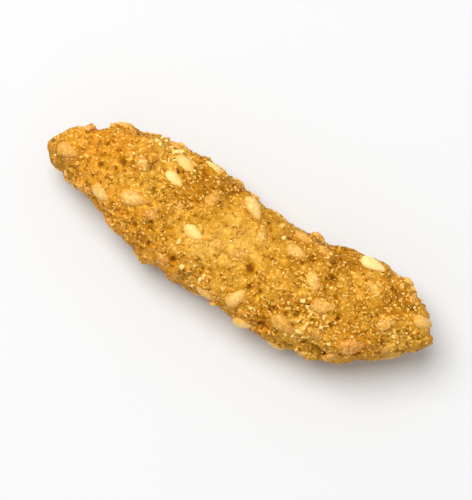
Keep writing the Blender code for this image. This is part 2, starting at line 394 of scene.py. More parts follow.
# Where it fried a deeper red than elsewhere. The one at (-6.0, -6.6), on the front edge,
# is partly painted shade.
RUDDY_AND_SHADE_PLACES = in_metres(
    (-20.5, 1.0, 3.6, 0.80),
    (-17.0, -2.4, 2.6, 0.45),
    (-15.8, 3.6, 3.0, 0.60),
    (-13.0, -4.4, 2.6, 0.80),
    (-6.0, -6.6, 2.6, 0.85),
    (0.0, -7.0, 2.4, 0.45),
    (6.4, -7.0, 2.2, 0.80),
    (17.4, -3.8, 2.0, 0.70),
    lengths=3,
)

# These places count only above this level, and in full after this rise.
UPPER_SIDE_LEVEL = 2.5 * MM
UPPER_SIDE_RISE = 2.5 * MM

# The marks are what the colours follow. Most have this value where the crust is as usual.
USUAL = 0.5
TOAST_LIGHT_AND_SHADE_SHARE = 0.37
SANDY_SHARE = 0.5
PROUD_HEIGHT = 1.0 * MM
PROUD_COARSE_SHARE = 0.5
PIT_PINHOLE_DEPTH = 0.28 * MM
PIT_BLISTER_DEPTH = 1.4 * MM
PIT_RIP_SHARE = 0.3

FORM_SIDES = 96
FORM_RINGS = 220
CRUST_GRID = 0.147 * MM
REST_LEVEL = 0.02 * MM


def swell(point):
    """Slow humps and hollows, several millimetres from one to the next."""
    return SWELL_HEIGHT * noise.noise(point / SWELL_SIZE)


def knobs(point):
    """Rounded knobs side by side, bolder in some patches than in others."""
    patch = KNOB_PATCH_LEVEL + KNOB_PATCH_SWING * noise.noise(point / KNOB_PATCH_SIZE)
    away = noise.voronoi(point / KNOB_SIZE)[0][0] / KNOB_REACH
    return KNOB_HEIGHT * patch * (KNOB_CROWN - away * away)


def boldness(point):
    """The share that is left of knobs and blisters, less in the smooth middle on top."""
    off_x, off_y = (point.x - SMOOTH_X) / SMOOTH_LENGTH, (point.y - SMOOTH_Y) / SMOOTH_WIDTH
    upper = min(1.0, max(0.0, (point.z - SMOOTH_LEVEL) / SMOOTH_RISE))
    return 1.0 - SMOOTH_SHARE * upper * math.exp(-off_x * off_x - off_y * off_y)


def domes(point):
    """Rounded grains side by side, 1 on their tops and 0 in the creases between them."""
    nearest = noise.voronoi(point)[0][0]
    return max(0.0, 1.0 - DOME_FALL * nearest * nearest)


def rips(point):
    """Shallow rips that run mostly along the stick, where the skin was dragged."""
    stretched = Vector((point.x / RIP_LENGTH, point.y / RIP_SPACING, point.z / RIP_SPACING))
    return max(0.0, 1.0 - abs(noise.noise(stretched)) / RIP_WIDTH)


def torn(point):
    """Rough noise of several sizes at once, like torn dough."""
    return noise.fractal(point, TORN_FADE, TORN_STEP, TORN_LAYERS)


def at_each(points, measure, size=1.0):
    """What this measure gives at each of the points, taken in units of this size."""
    return np.array([measure(point / size) for point in points])


def blister_places():
    draw = random.Random(BLISTER_DRAW)
    places = []
    for index in range(BLISTERS):
        x = BLISTER_SPAN * ((index + draw.random()) / BLISTERS - 0.5)
        turn = index * GOLDEN_ANGLE + draw.uniform(-BLISTER_WANDER, BLISTER_WANDER)
        radius = draw.uniform(*BLISTER_RADIUS)
        depth = draw.uniform(*BLISTER_DEPTH)
        places.append((form_point(x, turn), radius, depth))
    return places


def pinhole_places():
    draw = random.Random(PINHOLE_DRAW)
    places = []
    for _ in range(PINHOLES):
        x = PINHOLE_SPAN * (draw.random() - 0.5)
        foot = form_point(x, draw.uniform(0.0, FULL_TURN))
        radius = draw.uniform(*PINHOLE_RADIUS)
        places.append((foot, radius, draw.uniform(*PINHOLE_DEPTH)))
    for x, y, radius in TOP_PINHOLES:
        places.append((form_point(x, turn_at(x, y)), radius, TOP_PINHOLE_DEPTH))
    return places


def dents(points, places):
    """The depth that round dents at these places take off each point."""
    total = np.zeros(len(points))
    for centre, radius, depth in places:
        away = ((points - np.array(centre)) ** 2).sum(axis=1) / radius**2
        near = away < DENT_END
        total[near] += depth * np.exp(-away[near])
    return total


def seed_beds(points, seeds, large_count):
    """How clear each point is of seeds, 0 to 1, and the low collar of dough round them."""
    clear = np.ones(len(points))
    collar = np.zeros(len(points))
    for number, seed in enumerate(seeds):
        offset = points - np.array(seed["foot"])
        distance = np.sqrt((offset**2).sum(axis=1))
        near = distance < COLLAR_REACH
        if number < large_count:
            bed = np.exp(-((distance[near] / SEED_BED_RADIUS) ** SEED_BED_STEEPNESS))
            clear[near] = np.minimum(clear[near], 1.0 - bed)
        turned = offset[near] @ np.array(seed_axes(seed))
        half_long = 0.5 * SEED_LENGTH * seed["size"]
        half_wide = 0.5 * SEED_WIDTH * seed["size"]
        ring = np.sqrt((turned[:, 0] / half_long) ** 2 + (turned[:, 1] / half_wide) ** 2)
        rise = COLLAR_HEIGHT * np.exp(-(((ring - COLLAR_PLACE) / COLLAR_WIDTH) ** 2))
        collar[near] = np.maximum(collar[near], rise)
    return clear, collar


def touched(points, places):
    """How strongly each point of the upper side is touched by these places."""
    total = np.zeros(len(points))
    for x, y, reach, strength in places:
        away = ((points[:, 0] - x) ** 2 + (points[:, 1] - y) ** 2) / reach**2
        total += strength * np.exp(-away)
    return total * np.clip((points[:, 2] - UPPER_SIDE_LEVEL) / UPPER_SIDE_RISE, 0.0, 1.0)


def crust_relief(points, seeds, large_count):
    """The crust's height over the rolled form, and the marks that its colours follow."""
    vectors = [Vector(point) for point in points]
    swells = at_each(vectors, swell)
    knob = at_each(vectors, knobs)
    bold = at_each(vectors, boldness)
    patch = at_each(vectors, noise.noise, WHEAT_PATCH_SIZE)
    wheat = at_each(vectors, domes, WHEAT_SIZE)
    wheat *= np.clip(WHEAT_PATCH_LEVEL + WHEAT_PATCH_SWING * patch, PATCH_LEAST, 1.0)
    sand = at_each(vectors, domes, SAND_SIZE)
    rip = at_each(vectors, rips)
    rough = at_each(vectors, torn, CRUMBLE_SIZE)
    creep = at_each(vectors, noise.noise, COLLAR_PATCH_SIZE)
    blister = dents(points, blister_places())
    pinhole = dents(points, pinhole_places())
    clear, collar = seed_beds(points, seeds, large_count)
    creep = COLLAR_PATCH_LEVEL + COLLAR_PATCH_SWING * creep
    collar *= np.clip(creep, PATCH_LEAST, COLLAR_PATCH_MOST)
    coarse = clear * bold * (knob - blister)
    fine = WHEAT_HEIGHT * (wheat - WHEAT_MIDDLE) + SAND_HEIGHT * (sand - SAND_MIDDLE)
    fine += CRUMBLE_HEIGHT * rough - RIP_DEPTH * rip
    sandy = np.clip(USUAL + SANDY_SHARE * touched(points, SANDY_PLACES), 0.0, 1.0)
    by_seeds = FINE_BY_SEEDS + (1.0 - FINE_BY_SEEDS) * clear
    fine *= by_seeds * (FINE_WHERE_SMOOTH + FINE_SANDY_GAIN * sandy)
    height = swells + coarse + fine + collar - pinhole
    stands = (PROUD_COARSE_SHARE * coarse + fine + collar) / PROUD_HEIGHT
    sinks = pinhole / PIT_PINHOLE_DEPTH + PIT_RIP_SHARE * rip + blister / PIT_BLISTER_DEPTH
    marks = {
        "proud": np.clip(USUAL + stands, 0.0, 1.0),
        "pit": np.clip(sinks, 0.0, 1.0),
        "sandy": sandy,
        "toast_light_and_shade": USUAL + TOAST_LIGHT_AND_SHADE_SHARE * touched(points, TOAST_LIGHT_AND_SHADE_PLACES),
        "ruddy_and_shade": touched(points, RUDDY_AND_SHADE_PLACES),
    }
    return height, marks


def ball_along_x(sides, rings):
    """A ball of radius 1 whose poles lie on the X axis."""
    shape = bmesh.new()
    bmesh.ops.create_uvsphere(shape, u_segments=sides, v_segments=rings, radius=1.0)
    bmesh.ops.rotate(shape, verts=shape.verts, matrix=Matrix.Rotation(math.pi / 2, 3, "Y"))
    return shape


def rolled_form():
    """The plain rolled form: a ball drawn out to the stick's length and cross-sections."""
    mesh = bpy.data.meshes.new("fried_crust")
    shape = ball_along_x(FORM_SIDES, FORM_RINGS)
    for vertex in shape.verts:
        x = HALF_LENGTH * vertex.co.x
        vertex.co = form_point(x, math.atan2(vertex.co.z, vertex.co.y))
    bmesh.ops.recalc_face_normals(shape, faces=shape.faces)
    shape.to_mesh(mesh)
    shape.free()
    return mesh


def on_even_grid(piece):
    """The piece's skin made anew from small even faces, all of about one size."""
    even = piece.modifiers.new("even_grid", "REMESH")
    even.mode = "VOXEL"
    even.voxel_size = CRUST_GRID
    bpy.context.view_layer.update()
    graph = bpy.context.evaluated_depsgraph_get()
    mesh = bpy.data.meshes.new_from_object(piece.evaluated_get(graph))
    piece.modifiers.clear()
    piece.data = mesh
    mesh.name = "fried_crust"
    return mesh


def put_in_scene(name, data):
    """A new object of the scene, made of this mesh, lamp or lens."""
    thing = bpy.data.objects.new(name, data)
    bpy.context.scene.collection.objects.link(thing)
    return thing


def write_marks(mesh, marks):
    """Has the mesh carry these marks, each with one value for every point."""
    for mark, values in marks.items():
        layer = mesh.attributes.new(mark, "FLOAT", "POINT")
        layer.data.foreach_set("value", np.array(values, dtype=np.float32))


def make_crust(seeds, large_count):
    """The rolled form on an even fine grid, raised by the relief, flat where it rests."""
    crust = put_in_scene("fried_crust", rolled_form())
    mesh = on_even_grid(crust)
    points = np.empty(3 * len(mesh.vertices))
    normals = np.empty(3 * len(mesh.vertices))
    mesh.vertices.foreach_get("co", points)
    mesh.vertices.foreach_get("normal", normals)
    points, normals = points.reshape(-1, 3), normals.reshape(-1, 3)
    height, marks = crust_relief(points, seeds, large_count)
    points = points + normals * height[:, None]
    points[:, 2] = np.maximum(points[:, 2], REST_LEVEL)
    mesh.vertices.foreach_set("co", points.reshape(-1))
    write_marks(mesh, marks)
    mesh.shade_smooth()
    mesh.update()
    return crust


# The sizes of what the crust's colour and its finest relief are made of.

BROAD_SIZE = 7.0 * MM
MOTTLE_SIZE = 1.5 * MM
TOASTED_SIZE = 2.6 * MM
DRY_PATCH_SIZE = 0.9 * MM
SPECKLE_SIZE = 0.8 * MM
GRAIN_SIZE = 0.36 * MM
SPECK_SIZE = 0.32 * MM
PORE_SIZE = 0.3 * MM
GRIT_SIZE = 0.24 * MM


class Finish:
    """A node material, with short names for the textures that it is mixed from."""

    CLOUD_ROUGHNESS = 0.6
    RAGGED_REACH = 0.9
    RAGGED_FINENESS = 2.0

    def __init__(self, name):
        self.material = bpy.data.materials.new(name)
        self.material.use_nodes = True
        self.tree = self.material.node_tree
        self.shader = self.tree.nodes["Principled BSDF"]
        self.place = self.tree.nodes.new("ShaderNodeTexCoord").outputs["Object"]

    def put(self, socket, value):
        """Link a texture to a socket, or set the socket to a colour or a number."""
        if isinstance(value, bpy.types.NodeSocket):
            self.tree.links.new(value, socket)
        elif isinstance(value, tuple):
            socket.default_value = (*value, 1.0)
        else:
            socket.default_value = value

    def surface(self, name, value):
        """One of the shader's own values, such as its colour or its roughness."""
        self.put(self.shader.inputs[name], value)

    def soft_inside(self, share, colour, depth):
        """Light that sinks in this deep and comes out tinted."""
        self.surface("Subsurface Weight", share)
        self.shader.inputs["Subsurface Radius"].default_value = colour
        self.surface("Subsurface Scale", depth)

    def cloud(self, size, detail=4.0, shift=0.0):
        """Cloudy noise of about this size, 0 to 1, shifted to differ from its like."""
        moved = self.tree.nodes.new("ShaderNodeVectorMath")
        self.put(moved.inputs[0], self.place)
        moved.inputs[1].default_value = (shift, shift, shift)
        made = self.tree.nodes.new("ShaderNodeTexNoise")
        self.put(made.inputs["Vector"], moved.outputs[0])
        made.inputs["Scale"].default_value = 1.0 / size
        made.inputs["Detail"].default_value = detail
        made.inputs["Roughness"].default_value = self.CLOUD_ROUGHNESS
        return made.outputs["Fac"]

    def cells(self, size, output):
        """Ragged cells of this size: their distance field, or one random tone for each."""
        reach = self.RAGGED_REACH * size
        ragged = self.tree.nodes.new("ShaderNodeTexNoise")
        self.put(ragged.inputs["Vector"], self.place)
        ragged.inputs["Scale"].default_value = self.RAGGED_FINENESS / size
        moved = self.tree.nodes.new("ShaderNodeVectorMath")
        moved.operation = "MULTIPLY_ADD"
        self.put(moved.inputs[0], ragged.outputs["Color"])
        moved.inputs[1].default_value = (reach, reach, reach)
        self.put(moved.inputs[2], self.place)
        made = self.tree.nodes.new("ShaderNodeTexVoronoi")
        self.put(made.inputs["Vector"], moved.outputs[0])
        made.inputs["Scale"].default_value = 1.0 / size
        return made.outputs[output]

    def mark(self, name):
        """The value that the mesh itself carries under this name."""
        made = self.tree.nodes.new("ShaderNodeAttribute")
        made.attribute_name = name
        return made.outputs["Fac"]

    def ramp(self, value, *stops):
        """A colour or a grey level, read off between (position, level) stops."""
        made = self.tree.nodes.new("ShaderNodeValToRGB")
        self.put(made.inputs["Fac"], value)
        elements = made.color_ramp.elements
        while len(elements) < len(stops):
            elements.new(0.5)
        for element, (position, level) in zip(elements, stops):
            element.position = position
            grey = isinstance(level, (int, float))
            element.color = (level, level, level, 1.0) if grey else (*level, 1.0)
        return made.outputs["Color"]

    def mix(self, amount, first, second, blend="MIX"):
        """The first colour, with this amount of the second over it."""
        made = self.tree.nodes.new("ShaderNodeMix")
        made.data_type = "RGBA"
        made.blend_type = blend
        # Inputs 6 and 7 and output 2 are the ones for colours.
        self.put(made.inputs[0], amount)
        self.put(made.inputs[6], first)
        self.put(made.inputs[7], second)
        return made.outputs[2]

    def sum(self, first, first_share, second, second_share):
        """Two values added up, each taken by its share."""
        scaled = self.tree.nodes.new("ShaderNodeMath")
        scaled.operation = "MULTIPLY"
        self.put(scaled.inputs[0], first)
        self.put(scaled.inputs[1], first_share)
        added = self.tree.nodes.new("ShaderNodeMath")
        added.operation = "MULTIPLY_ADD"
        self.put(added.inputs[0], second)
        self.put(added.inputs[1], second_share)
        self.put(added.inputs[2], scaled.outputs[0])
        return added.outputs[0]

    def sheen(self, size, *stops, detail=3.0, shift=0.0):
        """Oily and dry patches of this size, whose roughness is read off between stops."""
        self.surface("Roughness", self.ramp(self.cloud(size, detail, shift), *stops))

    def bump(self, height, distance):
        """Relief that is too fine for the mesh."""
        made = self.tree.nodes.new("ShaderNodeBump")
        self.put(made.inputs["Height"], height)
        made.inputs["Distance"].default_value = distance
        self.surface("Normal", made.outputs["Normal"])


def fried_dough_finish():
    """Golden crust: yellower and browner patches, toasted knobs, painted shade in creases and
    pits.
    """
    brown = (0.41, 0.160, 0.006)
    gold = (0.63, 0.303, 0.027)
    yellow = (0.83, 0.472, 0.082)
    straw = (0.97, 0.60, 0.11)
    toasted = (0.50, 0.190, 0.010)
    # The near black brown below is painted shade, for creases and the bottoms of pits.
    crease_shade = (0.12, 0.022, 0.0)
    # The warm tint below is painted shade for the rims of pits.
    warm_rim_shade = (1.0, 0.94, 0.56)
    crumb = (0.98, 0.64, 0.17)
    ruddy_and_shade = (0.68, 0.278, 0.019)
    dark_grain = (0.46, 0.325, 0.11)
    pale_grain = (1.42, 1.45, 1.78)
    inside = (1.0, 0.45, 0.10)
    oil_tint = (1.0, 0.66, 0.15)
    finish = Finish("fried_dough")
    # How far it is baked, in broad patches and a mottle, and less or more at the marks.
    # The toast mark also holds painted light on shoulders and painted shade at edges.
    broad = finish.cloud(BROAD_SIZE, detail=2.0)
    mottle = finish.cloud(MOTTLE_SIZE, detail=3.0, shift=0.3)
    tone = finish.sum(broad, 0.54, mottle, 0.46)
    tone = finish.sum(tone, 1.0, finish.mark("toast_light_and_shade"), -0.40)
    colour = finish.ramp(tone, (0.19, brown), (0.36, gold), (0.51, yellow), (0.71, straw))
    # The red tint below is partly painted shade on the front edge.
    redder_and_shaded = finish.ramp(finish.mark("ruddy_and_shade"), (0.0, 0.0), (1.0, 1.0))
    colour = finish.mix(redder_and_shaded, colour, ruddy_and_shade)
    # Dark and pale grains, one by one where it is sandy and in a speckle everywhere.
    sandy = finish.mark("sandy")
    grains = finish.ramp(
        finish.cells(GRAIN_SIZE, "Color"),
        (0.10, dark_grain), (0.32, 1.0), (0.68, 1.0), (0.90, pale_grain),
    )
    grainy = finish.ramp(sandy, (0.0, 0.5), (0.6, 0.95))
    colour = finish.mix(grainy, colour, grains, "MULTIPLY")
    speckle = finish.ramp(
        finish.cloud(SPECKLE_SIZE, detail=3.0, shift=2.3),
        (0.30, dark_grain), (0.43, 1.0), (0.58, 1.0), (0.68, pale_grain),
    )
    colour = finish.mix(1.0, colour, speckle, "MULTIPLY")
    # Knobs are toasted, creases between them get a painted shade, and fine crumb shows as
    # specks.
    proud = finish.mark("proud")
    on_knobs = finish.sum(proud, 1.0, finish.cloud(TOASTED_SIZE, shift=0.7), 0.6)
    colour = finish.mix(finish.ramp(on_knobs, (0.95, 0.0), (1.0, 0.5)), colour, toasted)
    low = finish.ramp(proud, (0.14, 0.50), (0.36, 0.0))
    colour = finish.mix(low, colour, crease_shade)
    specks = finish.sum(finish.cloud(SPECK_SIZE, detail=2.0, shift=1.1), 1.0, sandy, 0.10)
    colour = finish.mix(finish.ramp(specks, (0.63, 0.0), (0.69, 0.95)), colour, crumb)
    # Pinholes and rips get a warm painted shade round their rims, and a dark painted
    # shade at the bottom.
    pit = finish.mark("pit")
    rim = finish.ramp(pit, (0.06, 0.0), (0.35, 1.0))
    colour = finish.mix(rim, colour, warm_rim_shade, "MULTIPLY")
    colour = finish.mix(finish.ramp(pit, (0.35, 0.0), (1.0, 0.78)), colour, crease_shade)
    finish.surface("Base Color", colour)
    finish.sheen(DRY_PATCH_SIZE, (0.35, 0.50), (0.65, 0.78), shift=1.9)
    finish.soft_inside(0.10, inside, 0.5 * MM)
    finish.surface("Specular IOR Level", 0.14)
    finish.surface("Specular Tint", oil_tint)
    grit, pores = finish.cloud(GRIT_SIZE, detail=4.0), finish.cells(PORE_SIZE, "Distance")
    finish.bump(finish.sum(grit, 1.0, pores, -0.6), 0.13 * MM)
    return finish.material


large = large_seeds()
seeds = with_sunk_seeds(large)
crust = make_crust(seeds, len(large))
crust.data.materials.append(fried_dough_finish())
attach(crust, "root")
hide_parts("sesame_stick")


# =======================================================================================
# SESAME SEEDS
# Hulled seeds, flat drops of pearly cream with a faint rim, half sunk in the crust where
# the hot oil baked them in. Their edges are stained golden, and some wear a film of dough.
# =======================================================================================

SEED_SIDES = 28
SEED_RINGS = 18
# The rim, with its place and width as shares of the half width, and not on the thin edge.
SEED_RIM = 0.05
SEED_RIM_PLACE = 0.78
SEED_RIM_WIDTH = 0.14
SEED_THIN_EDGE = 0.2
# How lumpy a seed and a film of dough are, how many lumps go to half a seed, and how far
# apart in the noise the lumps of two seeds are.
SEED_LUMP = 0.07
SEED_LUMPS = 1.7
FILM_LUMP = 0.22
FILM_LUMPS = 3.6
LUMPS_APART = 17.0
STAIN_SIZE = 0.9 * MM
FILM_PATCH_SIZE = 0.5 * MM
SEED_DRY_SIZE = 0.4 * MM
SEED_SKIN_SIZE = 0.2 * MM
BARE_WHITENESS = 2.0
LOOK_DRAW = 8


def seed_shape(number, film):
    """One seed, lying flat with its pointed end along +X, lumpier where dough covers it."""
    shape = ball_along_x(SEED_SIDES, SEED_RINGS)
    edge = shape.verts.layers.float.new("edge")
    away = Vector((0.0, 0.0, LUMPS_APART * number))
    for vertex in shape.verts:
        x, y, z = vertex.co
        vertex[edge] = math.hypot(x, y)
        narrow = 1.0 - SEED_TAPER * x
        off_rim = (abs(y) - SEED_RIM_PLACE) / SEED_RIM_WIDTH
        rim = SEED_RIM * math.exp(-(off_rim**2)) * (abs(z) > SEED_THIN_EDGE)
        lump = 1.0 + SEED_LUMP * noise.noise(vertex.co * SEED_LUMPS + away)
        lump += FILM_LUMP * max(0.0, film) * torn(vertex.co * FILM_LUMPS + away)
        vertex.co.x = 0.5 * SEED_LENGTH * x * lump
        vertex.co.y = 0.5 * SEED_WIDTH * narrow * y * lump
        vertex.co.z = 0.5 * SEED_THICKNESS * narrow * (z + math.copysign(rim, z)) * lump
    return shape


def many_as_one(name, things):
    """One mesh of many like things, each given as its shape, its matrix and its marks."""
    points, faces, values = [], [], {}
    for shape, matrix, marks in things:
        first = len(points)
        layers = dict(shape.verts.layers.float.items())
        shape.verts.index_update()
        for vertex in shape.verts:
            points.append(matrix @ vertex.co)
            for mark, level in marks.items():
                values.setdefault(mark, []).append(level)
            for mark, layer in layers.items():
                values.setdefault(mark, []).append(vertex[layer])
        faces.extend([first + vertex.index for vertex in face.verts] for face in shape.faces)
        shape.free()
    mesh = bpy.data.meshes.new(name)
    mesh.from_pydata(points, [], faces)
    write_marks(mesh, values)
    mesh.update()
    return put_in_scene(name, mesh)


def seed_centre(seed):
    """The middle of this seed, which rides up and down with the crust's swells."""
    return seed["foot"] + seed["normal"] * (swell(seed["foot"]) + seed["sink"])


def ruddy_and_shade_at(place):
    """How much deeper red the crust is here; on the front edge partly painted shade."""
    return float(touched(np.array([place]), RUDDY_AND_SHADE_PLACES)[0])


def all_seeds():
    draw = random.Random(LOOK_DRAW)
    for number, seed in enumerate(seeds):
        turned = seed_axes(seed).to_4x4()
        moved = Matrix.Translation(seed_centre(seed))
        matrix = moved @ turned @ Matrix.Scale(seed["size"], 4)
        tone = min(1.0, draw.random() - BARE_WHITENESS * min(0.0, seed["film"]))
        marks = {"tone": tone, "film": seed["film"], "ruddy_and_shade": ruddy_and_shade_at(seed["foot"])}
        yield seed_shape(number, seed["film"]), matrix, marks


def sesame_seed_finish():
    """Cream, stained golden towards the edges, under a film of dough on some seeds."""
    cream = (0.89, 0.61, 0.19)
    ivory = (0.95, 0.74, 0.29)
    golden = (0.80, 0.44, 0.07)
    dough = (0.74, 0.37, 0.045)
    ruddy_and_shade = (0.72, 0.30, 0.030)
    crumb = (0.98, 0.68, 0.22)
    dark_grain = (0.76, 0.62, 0.42)
    level = (0.5, 0.5, 0.5)
    inside = (1.0, 0.65, 0.25)
    finish = Finish("sesame_seed")
    film = finish.mark("film")
    # The bare seed, stained golden in clouds and towards its edge.
    colour = finish.mix(finish.mark("tone"), cream, ivory)
    stain = finish.sum(finish.mark("edge"), 0.55, finish.cloud(STAIN_SIZE, detail=3.0), 0.9)
    stain = finish.sum(stain, 1.0, film, 0.25)
    colour = finish.mix(finish.ramp(stain, (0.76, 0.0), (1.0, 0.8)), colour, golden)
    # The film of dough, with its grains and specks.
    cover = finish.sum(film, 0.9, finish.cloud(FILM_PATCH_SIZE, detail=4.0), 0.6)
    redder_and_shaded = finish.ramp(finish.mark("ruddy_and_shade"), (0.0, 0.0), (0.8, 1.0))
    dough = finish.mix(redder_and_shaded, dough, ruddy_and_shade)
    colour = finish.mix(finish.ramp(cover, (0.45, 0.0), (0.95, 0.95)), colour, dough)
    grains = finish.cells(GRAIN_SIZE, "Color")
    grains = finish.ramp(grains, (0.15, dark_grain), (0.85, 1.15))
    dusted = finish.ramp(film, (0.1, 0.15), (0.7, 0.9))
    colour = finish.mix(dusted, colour, grains, "MULTIPLY")
    specks = finish.sum(finish.cloud(SPECK_SIZE, detail=2.0), 1.0, film, 0.20)
    colour = finish.mix(finish.ramp(specks, (0.71, 0.0), (0.79, 0.85)), colour, crumb)
    finish.surface("Base Color", colour)
    finish.sheen(SEED_DRY_SIZE, (0.35, 0.42), (0.7, 0.62))
    finish.soft_inside(0.2, inside, 0.4 * MM)
    finish.surface("Specular IOR Level", 0.35)
    coating = finish.mix(dusted, level, finish.cloud(GRIT_SIZE, detail=4.0, shift=0.4))
    skin = finish.cloud(SEED_SKIN_SIZE, detail=4.0)
    finish.bump(finish.sum(skin, 0.4, coating, 1.2), 0.12 * MM)
    return finish.material


sesame = many_as_one("sesame_seeds", all_seeds())
sesame.data.shade_smooth()
sesame.data.materials.append(sesame_seed_finish())
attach(sesame, "root")
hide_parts("sesame_stick")


# =======================================================================================
# DOUGH CRUMBS
# Torn crumbs and cracked wheat from the dough, fried on to the crust as hard little
# lumps. Some lie scattered, some lean against the seeds' rims, and some lie in clusters.
# =======================================================================================

CRUMB_SMALL = (0.26 * MM, 0.50 * MM)
CRUMB_LARGE = (0.50 * MM, 1.00 * MM)
# Shares of a crumb's size: its width, its thickness, how far it stands up or is sunk,
# where its corners lie, and the height above the floor that it needs.
CRUMB_WIDTH = (0.6, 0.95)
CRUMB_THICKNESS = (0.5, 0.8)
CRUMB_RISE = (-0.14, 0.14)
CRUMB_RAGGED = (0.75, 1.0)
CRUMB_CLEARANCE = 0.7
CRUMB_CORNERS = 13
LARGE_SHARE = 0.15
CLUSTER_LARGE_SHARE = 0.5
CRUMBS_SCATTERED = 560
CRUMB_SPAN = 0.95 * STICK_LENGTH
SCATTERED_TONE = (0.0, 1.0)
CLUSTER_TONES = 0.26
RIM_CRUMBS = 7
RIM_TONE = (0.0, 0.55)
RIM_REACH = (0.94, 1.10)
# A seed's back has this many crumbs times its film of dough past the bare level.
FILM_CRUMBS = 16
BARE_FILM = 0.25
FILM_CRUMB_REACH = 0.9
CRUMB_DRAW = 77
CRUMB_TINT_SIZE = 0.5 * MM
CRUMB_DRY_SIZE = 0.3 * MM
CRUMB_GRIT_SIZE = 0.14 * MM
# The crust is looked for from this far above the rolled form, and this far down from there.
SEARCH_HEIGHT = 3.0 * MM
SEARCH_REACH = 6.0 * MM
# The clusters on top, as x, y, spread, count and their brownest tone. The palest, near
# (-11.3, 5.9), reach the lemon tone, which is partly a painted highlight for oily glints.
CRUMB_CLUSTERS = in_metres(
    (-11.3, 5.9, 0.9, 16, 1.0),
    (-12.6, 5.9, 1.5, 12, 0.88),
    (-10.9, 4.5, 0.4, 2, 0.95),
    (-13.8, 5.4, 0.8, 4, 0.62),
    (11.3, -4.2, 1.3, 12, 0.74),
    (10.6, -5.4, 1.0, 8, 0.74),
    (10.1, -2.4, 0.7, 5, 0.74),
    (13.1, -3.0, 1.6, 8, 0.70),
    (-1.4, -5.9, 1.2, 6, 0.78),
    (5.2, -5.4, 0.8, 4, 0.78),
    (4.5, 3.3, 0.3, 2, 0.74),
    (21.0, -0.2, 0.8, 3, 0.76),
    lengths=3,
)

crust_tree = BVHTree.FromPolygons(
    [vertex.co for vertex in crust.data.vertices],
    [polygon.vertices for polygon in crust.data.polygons],
)


def below(start, normal):
    """The place and the outward direction of the crust straight below this start."""
    place, direction, _, _ = crust_tree.ray_cast(start, -normal, SEARCH_REACH)
    return place, direction


def on_crust(x, turn):
    normal = form_normal(x, turn)
    return below(form_point(x, turn) + SEARCH_HEIGHT * normal, normal)


def anywhere_on_crust(span, draw):
    """A drawn place within this middle part of the stick's length, on any side of it."""
    x = span * (draw.random() - 0.5)
    return on_crust(x, draw.uniform(0.0, FULL_TURN))


def any_direction(draw):
    return Vector((draw.gauss(0.0, 1.0), draw.gauss(0.0, 1.0), draw.gauss(0.0, 1.0)))


def set_down(place, direction):
    """Sets a thing down at this place, with its upper side facing in this direction."""
    return Matrix.Translation(place) @ direction.to_track_quat("Z", "Y").to_matrix().to_4x4()


def uneven(size, width, thickness, draw):
    """Scales a unit thing to this length, and to drawn shares of it across."""
    wide, thick = size * draw.uniform(*width), size * draw.uniform(*thickness)
    return Matrix.Diagonal((size, wide, thick, 1.0))


def spun(draw):
    """Turns a thing any way round, as seen from above."""
    return Matrix.Rotation(draw.uniform(0.0, FULL_TURN), 4, "Z")


def crumb_shape(draw):
    """A broken grain of unit size: the hull of a few points thrown into a ball."""
    shape = bmesh.new()
    for _ in range(CRUMB_CORNERS):
        corner = any_direction(draw).normalized()
        shape.verts.new(0.5 * draw.uniform(*CRUMB_RAGGED) * corner)
    hull = bmesh.ops.convex_hull(shape, input=shape.verts)
    inside = [part for part in hull["geom_interior"] if isinstance(part, bmesh.types.BMVert)]
    bmesh.ops.delete(shape, geom=inside, context="VERTS")
    bmesh.ops.recalc_face_normals(shape, faces=shape.faces)
    return shape


def crumb_on(crust_place, draw, large_share, tones):
    """A crumb part sunk in the crust at this place, or None where it would touch the floor."""
    size = draw.uniform(*(CRUMB_LARGE if draw.random() < large_share else CRUMB_SMALL))
    stretch = uneven(size, CRUMB_WIDTH, CRUMB_THICKNESS, draw)
    spin = spun(draw)
    rise = size * draw.uniform(*CRUMB_RISE)
    marks = {"tone": draw.uniform(*tones)}
    shape = crumb_shape(draw)
    place, direction = crust_place
    if place is None or place.z < CRUMB_CLEARANCE * size:
        return None
    marks["ruddy_and_shade"] = ruddy_and_shade_at(place)
    return shape, set_down(place + direction * rise, direction) @ spin @ stretch, marks


def rim_place(seed, draw):
    """A place on the crust beside the rim of this seed."""
    angle = draw.uniform(0.0, FULL_TURN)
    reach = 0.5 * seed["size"] * draw.uniform(*RIM_REACH)
    beside = Vector((SEED_LENGTH * math.cos(angle), SEED_WIDTH * math.sin(angle), 0.0))
    start = seed["foot"] + seed_axes(seed) @ (reach * beside)
    return below(start + SEARCH_HEIGHT * seed["normal"], seed["normal"])


def film_place(seed, draw):
    """A place on the back of this seed, and the direction that it faces."""
    angle = draw.uniform(0.0, FULL_TURN)
    reach = FILM_CRUMB_REACH * math.sqrt(draw.random())
    x, y, z = reach * math.cos(angle), reach * math.sin(angle), math.sqrt(1.0 - reach * reach)
    narrow = 1.0 - SEED_TAPER * x
    wide, thick = narrow * SEED_WIDTH, narrow * SEED_THICKNESS
    axes = seed_axes(seed)
    place = Vector((SEED_LENGTH * x, wide * y, thick * z))
    direction = axes @ Vector((x / SEED_LENGTH, y / wide, z / thick)).normalized()
    return seed_centre(seed) + 0.5 * seed["size"] * (axes @ place), direction


